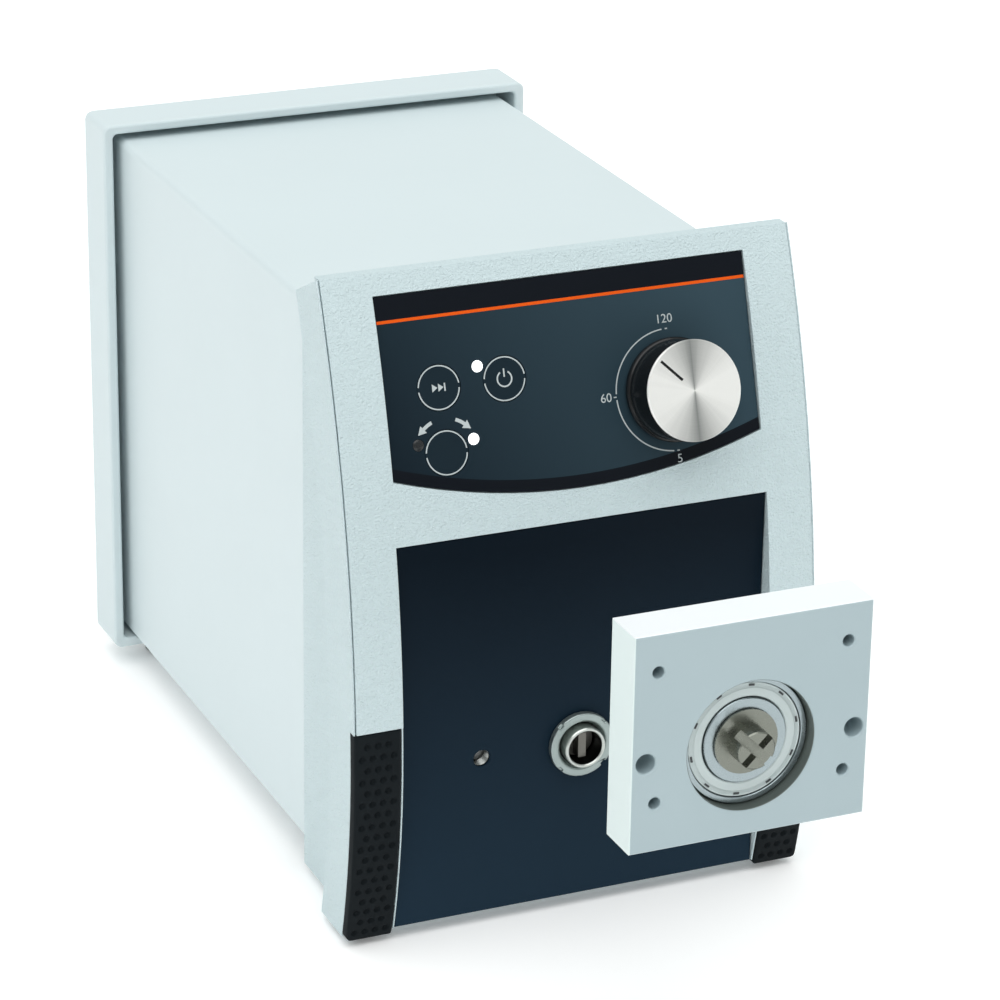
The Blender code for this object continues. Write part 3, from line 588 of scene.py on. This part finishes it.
NEAR_BLACK = (0.004, 0.006, 0.010)
RULE_BOTTOM, RULE_TOP = 20.4, 21.4
BAND_WIDTH = 4.0
film = panel_finish("printed_film", (0.018, 0.036, 0.050), 0.34, specular_ior_level=0.12)
header = film.v.above((RULE_BOTTOM + RULE_TOP) / 2)
low_edge = LOW_EDGE + SAG * (film.u / HALF_WIDTH) ** 2
lower_band = 1 - film.v.above(low_edge + BAND_WIDTH)
across = film.u / (2 * HALF_WIDTH) + 0.5
# Painted light: the slate grey ground grows lighter towards the right and a little towards the top.
painted_light_across = across * 0.9 + (film.v - LOW_EDGE) / 300
painted_light_ground = film.between(painted_light_across, (0.0035, 0.010, 0.017), (0.034, 0.064, 0.084))
painted_light_ground = film.between(header, painted_light_ground, NEAR_BLACK)
film.drive("Base Color", film.between(lower_band, painted_light_ground, NEAR_BLACK))
film.relief(film.speckle(0.5, 2.0), 0.006)
film.drive("Roughness", 0.3 + 0.08 * film.speckle(12, 2.0))


def control_outline(inset):
    """The control panel's outline, straight above and curved below, moved in by `inset`."""
    half = HALF_WIDTH - inset
    steps = 32
    across = [half * (2 * step / steps - 1) for step in range(steps + 1)]
    lower = [(u, LOW_EDGE + inset + SAG * (u / half) ** 2) for u in across]
    return lower + [(half, TOP_EDGE - inset), (-half, TOP_EDGE - inset)]


def onto_panel(shape):
    """From slab space (u, -n, v) in metres to its place on the control panel."""
    bmesh.ops.scale(shape, verts=shape.verts, vec=(1000, 1000, 1000))
    bmesh.ops.transform(
        shape, verts=shape.verts, matrix=PANEL @ Matrix.Rotation(-pi / 2, 4, "X"))
    return shape


film_walls = [chamfered(control_outline, 0.0, 1.0, 0.12)]
film_walls += [straight(round_hole(key_uv, 7.6, 64), 0.0, 1.0) for key_uv in KEYS.values()]
film_walls += [straight(round_hole(lamp_uv, 1.95, 32), 0.0, 1.0) for lamp_uv in LAMPS.values()]
film_walls.append(straight(round_hole(KNOB, 4.0, 40), 0.0, 1.0))
piece(
    "printed_panel", onto_panel(bored_slab(film_walls)), film, "chassis",
    ("control_panel",))


# ---------------------------------------------------------------- Printed markings
# Screen-printed light grey ink: the dial round the knob with its three speeds, arrows for the
# two directions of turn, and the orange rule. They stand 0.04 mm proud of the film.

ink = Finish("light_grey_ink", (0.50, 0.55, 0.56), 0.5)
ink.tint(ink.speckle(3, 2.0), 0.05)
orange_ink = Finish("orange_ink", (0.80, 0.10, 0.006), 0.5, specular_ior_level=0.1)
orange_ink.tint(orange_ink.speckle(5, 2.0), 0.04)


def arc_band(centre, radius, width, start, end, steps=48):
    """Outline of a thin arc between two angles in degrees."""
    turns = [radians(start + (end - start) * step / steps) for step in range(steps + 1)]
    outer, inner = radius + width / 2, radius - width / 2
    outline = [(centre[0] + outer * cos(turn), centre[1] + outer * sin(turn)) for turn in turns]
    outline += [
        (centre[0] + inner * cos(turn), centre[1] + inner * sin(turn)) for turn in reversed(turns)]
    return outline


def gathered(*shapes):
    """Several solids that don't meet, as one bmesh."""
    whole = bmesh.new()
    for shape in shapes:
        spare = bpy.data.meshes.new("spare")
        shape.to_mesh(spare)
        shape.free()
        whole.from_mesh(spare)
        bpy.data.meshes.remove(spare)
    return whole


def printed(name, outlines, finish=ink, body="chassis", level=0.04):
    """Flat marks on the control panel, their faces `level` mm in front of the film."""
    walls = [straight(outline, -level, 0.06 - level) for outline in outlines]
    marks = gathered(*[bored_slab([wall]) for wall in walls])
    piece(name, onto_panel(marks), finish, body)


def digits(name, text, centre, size):
    """Figures cut from the plain built-in face as thin solids."""
    curve = bpy.data.curves.new(name, "FONT")
    curve.body = text
    curve.size = size
    curve.align_x = "CENTER"
    curve.align_y = "CENTER"
    curve.extrude = 0.03
    curve.resolution_u = 6
    holder = bpy.data.objects.new(name, curve)
    outline = bpy.data.meshes.new_from_object(holder)
    bpy.data.objects.remove(holder)
    bpy.data.curves.remove(curve)
    shape = bmesh.new()
    shape.from_mesh(outline)
    bpy.data.meshes.remove(outline)
    bmesh.ops.remove_doubles(shape, verts=shape.verts, dist=1e-4)
    bmesh.ops.recalc_face_normals(shape, faces=shape.faces)
    bmesh.ops.transform(
        shape, verts=shape.verts, matrix=PANEL @ Matrix.Translation((*centre, 0.01)))
    piece(name, shape, ink, "chassis")


def arrow_outline(centre, radius, start, end, width=1.15, head_width=3.1, head_length=2.7):
    """A curved arrow along a circle, pointing towards `end`."""
    towards = 1 if end > start else -1
    steps = 12
    turns = [radians(start + (end - start) * step / steps) for step in range(steps + 1)]

    def place(distance, turn, along=0.0):
        return (centre[0] + distance * cos(turn) - towards * along * sin(turn),
                centre[1] + distance * sin(turn) + towards * along * cos(turn))

    outer = [place(radius + width / 2, turn) for turn in turns]
    inner = [place(radius - width / 2, turn) for turn in reversed(turns)]
    last = turns[-1]
    head = [
        place(radius + head_width / 2, last), place(radius, last, head_length),
        place(radius - head_width / 2, last)]
    return outer + head + inner


RULE_END = HALF_WIDTH - 0.2
LINE = 0.42
DIAL_R = 20.0
FIGURE = 4.1
printed("orange_rule", [oblong((-RULE_END, RULE_END), (RULE_BOTTOM, RULE_TOP))], orange_ink)
dial = [arc_band(KNOB, DIAL_R, LINE, *limits) for limits in ((94.5, 177.2), (182.8, 265.5))]
dial += [arc_band(KNOB, DIAL_R, LINE, end - 1.2, end + 1.2, 3) for end in (90.0, 270.0)]
dial.append(oblong((14.0, 15.0), (-13.0, -12.6)))
printed("speed_dial", dial)
digits("dial_120", "120", (KNOB[0] - 0.4, 10.4), FIGURE)
digits("dial_60", "60", (11.3, KNOB[1]), FIGURE)
digits("dial_5", "5", (KNOB[0] + 0.3, -35.6), FIGURE)
printed("turn_arrows", [
    arrow_outline(KEYS["direction_key"], 11.0, *limits) for limits in ((68, 50), (112, 130))])


# ---------------------------------------------------------------- Keys and lamps
# Round membrane keys that sink under a finger, each ringed in light ink. One is the mains
# standby key, one runs the pump at full speed, and the blank one changes the direction.

def turned_on_panel(profile, centre, segments):
    """A turned solid standing on the control panel, from (radius, height) points in mm."""
    shape = lathe(profile, centre, "Z", segments)
    bmesh.ops.transform(shape, verts=shape.verts, matrix=PANEL @ Matrix.Scale(1000, 4))
    return shape


key_cap = panel_finish("key_film", (0.009, 0.020, 0.029), 0.36, specular_ior_level=0.12)
key_cap.tint(key_cap.speckle(20, 1.0), 0.06)
key_cap.relief(key_cap.speckle(0.5, 2.0), 0.005)
key_profile = [
    (0, -6.4), (2.5, -6.4), (2.5, -1.6), (7.45, -1.6), (7.5, -1.5), (7.5, -0.3), (7.35, -0.1),
    (0, -0.1)]
for key, (u, v) in KEYS.items():
    holder = key.replace("_key", "_button")
    cap = turned_on_panel(key_profile, (u, v), 64)
    piece(f"{key}_cap", cap, key_cap, holder, (key,))
    marks = [arc_band((u, v), 7.0, LINE, start, start + 168, 40) for start in (6, 186)]
    if key == "power_key":
        marks.append(arc_band((u, v), 2.5, 0.5, 122, 418, 40))
        marks.append(oblong((u - 0.25, u + 0.25), (v + 0.6, v + 3.3)))
    if key == "max_key":
        for back in (u - 2.3, u - 0.2):
            marks.append([(back, v - 1.3), (back + 1.8, v), (back, v + 1.3)])
        marks.append(oblong((u + 1.8, u + 1.8 + 0.5), (v - 1.3, v + 1.3)))
    printed(f"{key}_print", marks, ink, holder, -0.07)

lit = Finish(
    "lit_lens", (0.9, 0.93, 0.95), 0.3, emission_color=(1.0, 1.0, 1.0, 1.0), emission_strength=1.6)
unlit = Finish("dark_lens", (0.012, 0.014, 0.016), 0.25)
for frosted in (lit, unlit):
    frosted.relief(frosted.speckle(0.4, 2.0), 0.01)
dome_profile = [(0, -4.0), (1.85, -4.0), (1.85, -0.05), (1.5, 0.15), (0.8, 0.25), (0, 0.28)]
for lens, lamp_uv in LAMPS.items():
    dome = turned_on_panel(dome_profile, lamp_uv, 32)
    frosted = unlit if lens == "left_turn_lamp" else lit
    piece(f"{lens}_dome", dome, frosted, "chassis", (lens,), smooth=50)


# ---------------------------------------------------------------- Speed knob
# A moulded black body carries a spun aluminium cap with fine turning marks. The bright fans
# across the cap are painted highlights in its colour. A filled slot in the cap points at the
# speed.

knob_black = panel_finish("satin_black_knob", (0.006, 0.007, 0.008), 0.22, specular_ior_level=0.4)
knob_black.relief(knob_black.speckle(0.5, 2.0), 0.006)
knob_black.drive("Roughness", 0.16 + 0.08 * knob_black.speckle(6, 2.0))
body_profile = [
    (0, 0.8), (16.6, 0.8), (17.1, 1.1), (17.2, 2.6), (16.9, 3.1), (16.5, 3.3), (16.15, 15.3),
    (15.8, 15.9), (0, 15.9)]
piece(
    "knob_moulding", turned_on_panel(body_profile, KNOB, 128), knob_black, "speed_knob",
    ("knob_body",))

spun = panel_finish("spun_aluminium", (0.8, 0.8, 0.77), 0.32, metallic=0.4)
away_u = spun.u - KNOB[0]
away_v = spun.v - KNOB[1]
radius = away_u.reach(away_v)
angle = away_v.maths("ARCTAN2", away_v, away_u)
along_a_line = {"noise_dimensions": "1D"}
turning_marks = spun.node(
    "ShaderNodeTexNoise", along_a_line, {"W": radius, "Scale": 3.5, "Detail": 4.0})
streaks = spun.node("ShaderNodeTexNoise", along_a_line, {"W": angle, "Scale": 5.0, "Detail": 3.0})
# Painted highlight: light fans left and right of the cap's middle, dark above and below.
fan = (away_u / (radius + 0.01)).size() ** 0.75
painted_shine = 0.95 * fan + 0.16 * streaks + 0.1 * turning_marks - 0.05
spun.drive("Base Color", spun.between(painted_shine, (0.18, 0.19, 0.185), (0.97, 0.96, 0.93)))
spun.relief(turning_marks, 0.02)
face_profile = [
    (0, 16.1), (16.3, 16.1), (16.6, 16.4), (16.6, 16.9), (16.3, 17.25), (15.9, 17.3), (0, 17.3)]
piece(
    "knob_face", turned_on_panel(face_profile, KNOB, 128), spun, "speed_knob",
    ("knob_cap",))
POINTS_TO = radians(135)
pointer = []
for along, across in oblong((5.5, 15.3), (-0.45, 0.45)):
    pointer.append((
        KNOB[0] + along * cos(POINTS_TO) - across * sin(POINTS_TO),
        KNOB[1] + along * sin(POINTS_TO) + across * cos(POINTS_TO)))
printed("knob_pointer", [pointer], knob_black, "speed_knob", 17.33)


# ---------------------------------------------------------------- Adapter plate
# A milled aluminium plate that takes a pump head to the drive. It has a stepped bore for the
# bearing, four small holes for the head and two large ones for the bolts into the unit.

BORE_Z = 113.9
PLATE_X, PLATE_TOP, PLATE_BOTTOM = 39.7, 155.75, 84.25
FRONT, BACK = -190.0, -173.5
SEAT_R, THROUGH_R = 21.3, 14.0
RACE_FRONT, RACE_BACK = (corner.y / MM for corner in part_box("bearing_outer_race"))
SHOULDER = RACE_BACK + 0.3
WITHIN = 0.3

plate_metal = Finish("milled_aluminium", (0.60, 0.68, 0.70), 0.4, 0.05)
plate_metal.relief(plate_metal.speckle(0.5, 3.0, (1, 1, 5)), 0.006)
plate_metal.drive("Roughness", 0.36 + 0.12 * plate_metal.speckle(8, 2.0))
# Painted light and shade: the side faces are coloured lighter than the front and the top lighter
# still, and the inside of the bore is painted near black as painted shade.
painted_lit_side = plate_metal.x.size().above(PLATE_X - WITHIN)
painted_lit_top = plate_metal.z.above(PLATE_TOP - WITHIN)
outside_painted_bore_shade = plate_metal.x.reach(plate_metal.z - BORE_Z).above(SEAT_R + 0.15)
milled_tone_and_painted_light = plate_metal.between(
    plate_metal.speckle(30, 2.0), (0.385, 0.475, 0.505), (0.41, 0.505, 0.535))
milled_tone_and_painted_light = plate_metal.between(painted_lit_side, milled_tone_and_painted_light, (0.74, 0.83, 0.82))
milled_tone_and_painted_light = plate_metal.between(outside_painted_bore_shade, (0.10, 0.12, 0.11), milled_tone_and_painted_light)
milled_tone_and_painted_light = plate_metal.between(painted_lit_top, milled_tone_and_painted_light, (0.88, 0.91, 0.93))
plate_metal.drive("Base Color", milled_tone_and_painted_light)

bore = [
    (SEAT_R + 0.4, FRONT), (SEAT_R, FRONT + 0.4), (SEAT_R, SHOULDER), (THROUGH_R, SHOULDER),
    (THROUGH_R, BACK - 0.4), (THROUGH_R + 0.4, BACK)]
walls = [chamfered(
    lambda c: oblong((-PLATE_X, PLATE_X), (PLATE_BOTTOM, PLATE_TOP), c), FRONT, BACK, 0.5)]
walls.append([(round_hole((0, BORE_Z), radius, 96), y) for radius, y in bore])
for place in ((-31.7, 143.3), (-31.7, 100.3), (31.7, 143.3), (31.7, 100.3)):
    walls.append(chamfered(lambda c: round_hole(place, 1.95 + c, 32), FRONT, BACK, 0.35))
for bolt_x in (-BOLT_X, BOLT_X):
    walls.append(chamfered(lambda c: round_hole((bolt_x, BORE_Z), 3.2 + c, 40), FRONT, BACK, 0.4))
piece(
    "bored_adapter", bored_slab(walls), plate_metal, "adapter",
    ("adapter_plate",))


# ---------------------------------------------------------------- Adapter bearing and spindle
# A shielded ball bearing lies in the plate's bore. Its inner race carries a short spindle that
# is jawed for the pump head in front and slotted for the drive's blade behind.

race_steel = Finish("ground_steel", (0.35, 0.41, 0.43), 0.24, 0.9)
race_steel.relief(race_steel.speckle(0.3, 2.0), 0.004)
race_steel.drive("Roughness", 0.18 + 0.14 * race_steel.speckle(2.5, 3.0))
shield_steel = Finish("pressed_shield", (0.60, 0.68, 0.68), 0.5, 0.1)
shield_steel.relief(shield_steel.speckle(0.5, 2.0), 0.006)
shield_steel.drive("Roughness", 0.44 + 0.1 * shield_steel.speckle(3, 2.0))


def race(inner, outer, inner_lead, outer_lead):
    """A bearing race with its corners eased."""
    profile = [
        (inner, RACE_FRONT + inner_lead), (inner + inner_lead, RACE_FRONT),
        (outer - outer_lead, RACE_FRONT), (outer, RACE_FRONT + outer_lead),
        (outer, RACE_BACK - outer_lead), (outer - outer_lead, RACE_BACK),
        (inner + inner_lead, RACE_BACK), (inner, RACE_BACK - inner_lead)]
    return lathe(profile, (0, BORE_Z), segments=96, closed=True)


piece(
    "outer_race_ring", race(19.0, 21.0, 0.15, 0.4), race_steel, "adapter",
    ("bearing_outer_race",))
piece(
    "inner_race_ring", race(10.0, 13.9, 0.3, 0.25), race_steel, "adapter_coupling",
    ("bearing_inner_race",))
shield_section = [
    (14.2, 0.25), (14.6, 0.0), (16.9, 0.0), (17.3, 0.25), (18.4, 0.3), (18.7, 0.1), (18.7, 0.5),
    (14.2, 0.6)]
for place, outside, inwards in (("front", RACE_FRONT + 0.5, 1), ("rear", RACE_BACK - 0.5, -1)):
    profile = [(radius, outside + inwards * depth) for radius, depth in shield_section]
    shield = lathe(profile, (0, BORE_Z), segments=96, closed=True)
    piece(
        f"{place}_shield_disc", shield, shield_steel, "adapter",
        (f"bearing_{place}_shield",))
# Painted shadow: ten thin near-black marks on the front shield stand for the shade in its crimp
# notches.
crimp_dark = Finish("crimp_shadow", (0.05, 0.055, 0.06), 0.6)
crimp_dark.relief(crimp_dark.speckle(0.3, 2.0), 0.004)
crimp_shadow_slabs = []
for start in range(9, 360, 36):
    outline = arc_band((0, BORE_Z), 17.9, 0.6, start, start + 6, 3)
    crimp_shadow_slabs.append(bored_slab([straight(outline, RACE_FRONT + 0.55, RACE_FRONT + 0.75)]))
piece("painted_crimp_shadows", gathered(*crimp_shadow_slabs), crimp_dark, "adapter")

spindle_steel = Finish("turned_spindle_steel", (0.22, 0.23, 0.20), 0.26, 0.9)
spindle_steel.relief(spindle_steel.speckle(0.3, 2.0), 0.006)
spindle_steel.drive("Roughness", 0.2 + 0.16 * spindle_steel.speckle(2.5, 3.0))
dressed("adapter_spindle", spindle_steel, "jawed_spindle", 0.2)


# ---------------------------------------------------------------- Rear panel and its fittings
# A coated steel panel closes the back, held by four cross-recessed screws. It carries the mains
# inlet with its fuse drawer, the mains switch, a 9-way remote socket and the fan behind slots.

dressed("rear_panel", coated_steel, "vented_panel", 0.2, 1)
black_moulding = Finish("black_moulding", (0.012, 0.013, 0.014), 0.45)
black_moulding.relief(black_moulding.speckle(0.6, 3.0), 0.02)
black_moulding.drive("Roughness", 0.4 + 0.15 * black_moulding.speckle(5, 2.0))
for node, name, width in (
        ("fan_frame", "fan_housing", 0.4),
        ("fan_rotor", "fan_impeller", 0.15),
        ("mains_inlet", "inlet_moulding", 0.35),
        ("fuse_drawer", "fuse_carrier_moulding", 0.3),
        ("power_switch_frame", "switch_bezel", 0.35),
        ("power_rocker", "rocker_moulding", 0.4)):
    dressed(node, black_moulding, name, width)

# The on and off marks are bent over the rocker's two facets, then tipped with it.
PIVOT = Vector((-40.0, 188.6, 45.0))
ROCKER_TIP = radians(8)
rocker_ink = Finish("white_rocker_print", (0.8, 0.82, 0.82), 0.5)
rocker_ink.relief(rocker_ink.speckle(0.4, 2.0), 0.004)
on_mark = straight(oblong((-0.3, 0.3), (1.9, 6.0)), 0.0, 0.08)
off_mark = [straight(round_hole((0, -4.6), radius), 0.0, 0.08) for radius in (2.0, 1.5)]
on_off = gathered(bored_slab([on_mark]), bored_slab(off_mark))
for vert in on_off.verts:
    across, depth, up = vert.co / MM
    facet = 3.4 - 1.2 * abs(up) / 10.4
    vert.co = Vector((-across, facet - 0.03 + depth, up)) * MM
bmesh.ops.transform(
    on_off, verts=on_off.verts,
    matrix=Matrix.Translation(PIVOT * MM) @ Matrix.Rotation(ROCKER_TIP, 4, "X"))
bmesh.ops.recalc_face_normals(on_off, faces=on_off.faces)
piece("rocker_marks", on_off, rocker_ink, "mains_rocker")

zinc = Finish("zinc_plated_steel", (0.66, 0.66, 0.62), 0.34, 0.95)
zinc.relief(zinc.speckle(0.4, 2.0), 0.006)
zinc.drive("Roughness", 0.28 + 0.16 * zinc.speckle(3, 3.0))
dressed("remote_socket", zinc, "socket_shell", 0.25)
SOCKET_X, PIN_PITCH = -5.0, 2.76
INSERT_Y = (188.1, 192.8)
pins = [(SOCKET_X + PIN_PITCH * (place - 2), 111.2) for place in range(5)]
pins += [(SOCKET_X + PIN_PITCH * (place - 1.5), 108.8) for place in range(4)]
insert_walls = [straight([(-14.1, 112.3), (4.1, 112.3), (2.6, 107.7), (-12.6, 107.7)], *INSERT_Y)]
insert_walls += [straight(round_hole(pin, 0.55, 16), *INSERT_Y) for pin in pins]
piece("socket_insert", bored_slab(insert_walls), black_moulding, "chassis")


def cross_outline(middle, reach, half):
    """Outline of a plus sign."""
    corners = [
        (half, half), (half, reach), (-half, reach), (-half, half), (-reach, half), (-reach, -half),
        (-half, -half), (-half, -reach), (half, -reach), (half, -half), (reach, -half),
        (reach, half)]
    return [(middle[0] + a, middle[1] + b) for a, b in corners]


RECESS_Y, HEAD_Y = 191.9, 193.0
shank = [(0, 182), (1.5, 182), (1.5, 191.0), (3.1, 191.0), (3.1, RECESS_Y), (0, RECESS_Y)]
dome = ((3.1, RECESS_Y), (3.1, 192.2), (2.7, 192.7), (2.2, HEAD_Y))
for corner, middle in (
        ("lower_left", (-68, 24)), ("lower_right", (68, 24)),
        ("upper_left", (-68, 198)), ("upper_right", (68, 198))):
    head = bored_slab([
        [(round_hole(middle, radius, 40), y) for radius, y in dome],
        straight(cross_outline(middle, 1.5, 0.35), RECESS_Y, HEAD_Y)])
    screw = gathered(lathe(shank, middle, segments=40), head)
    piece(f"panel_screw_{corner}", screw, zinc, "chassis", (f"rear_screw_{corner}",))

for side in ("left", "right"):
    dressed(f"{side}_rear_foot", rubber, f"{side}_rubber_foot", 0.3)


# ---------------------------------------------------------------- Works inside the case
# Steel tray, two-plate gearbox with a hardened output gear and a brass idler gear, motor, mains
# supply board with its parts, motor driver on the side wall, and the board behind the panel.

cast_metal = Finish("machined_plate_metal", (0.66, 0.67, 0.67), 0.38, 0.9)
gear_brass = Finish("cut_brass", (0.72, 0.52, 0.22), 0.3, 0.95)
motor_steel = Finish("motor_can", (0.42, 0.43, 0.44), 0.36, 0.9)
board = Finish("green_laminate", (0.015, 0.13, 0.06), 0.4)
windings = Finish("varnished_windings", (0.34, 0.15, 0.06), 0.38, 0.3)
sleeve_plastic = Finish("capacitor_sleeve", (0.012, 0.02, 0.05), 0.3)
for inner, size, depth in (
        (cast_metal, 0.8, 0.01), (gear_brass, 0.4, 0.006), (motor_steel, 0.6, 0.008),
        (board, 1.2, 0.01), (windings, 0.7, 0.05), (sleeve_plastic, 2.0, 0.01)):
    inner.relief(inner.speckle(size, 3.0), depth)
    inner.tint(inner.speckle(12, 2.0), 0.06)
for node, finish, name, width in (
        ("base_tray", coated_steel, "folded_tray", 0.2),
        ("gearbox_front_plate", cast_metal, "gearbox_front", 0.4),
        ("gearbox_rear_plate", cast_metal, "gearbox_rear", 0.4),
        ("output_front_bearing", race_steel, "front_output_bearing", 0.3),
        ("output_rear_bearing", race_steel, "rear_output_bearing", 0.3),
        ("output_gear", dark_steel, "large_output_gear", 0.08),
        ("idler_pinion_shaft", dark_steel, "idler_pinion", 0.08),
        ("idler_gear", gear_brass, "brass_idler_gear", 0.08),
        ("motor_pinion_shaft", dark_steel, "motor_pinion", 0.08),
        ("drive_motor", motor_steel, "motor_body", 0.3),
        ("power_supply_board", board, "supply_board", 0.1),
        ("supply_transformer", windings, "wound_transformer", 0.5),
        ("filter_capacitor", sleeve_plastic, "supply_capacitor", 0.8),
        ("supply_heat_sink", cast_metal, "finned_sink", 0.15),
        ("motor_driver_board", board, "driver_board", 0.1),
        ("control_board", board, "key_board", 0.1),
        ("speed_encoder", motor_steel, "rotary_encoder", 0.3),
        ("knob_shaft", bright_steel, "encoder_shaft", 0.2)):
    dressed(node, finish, name, width)
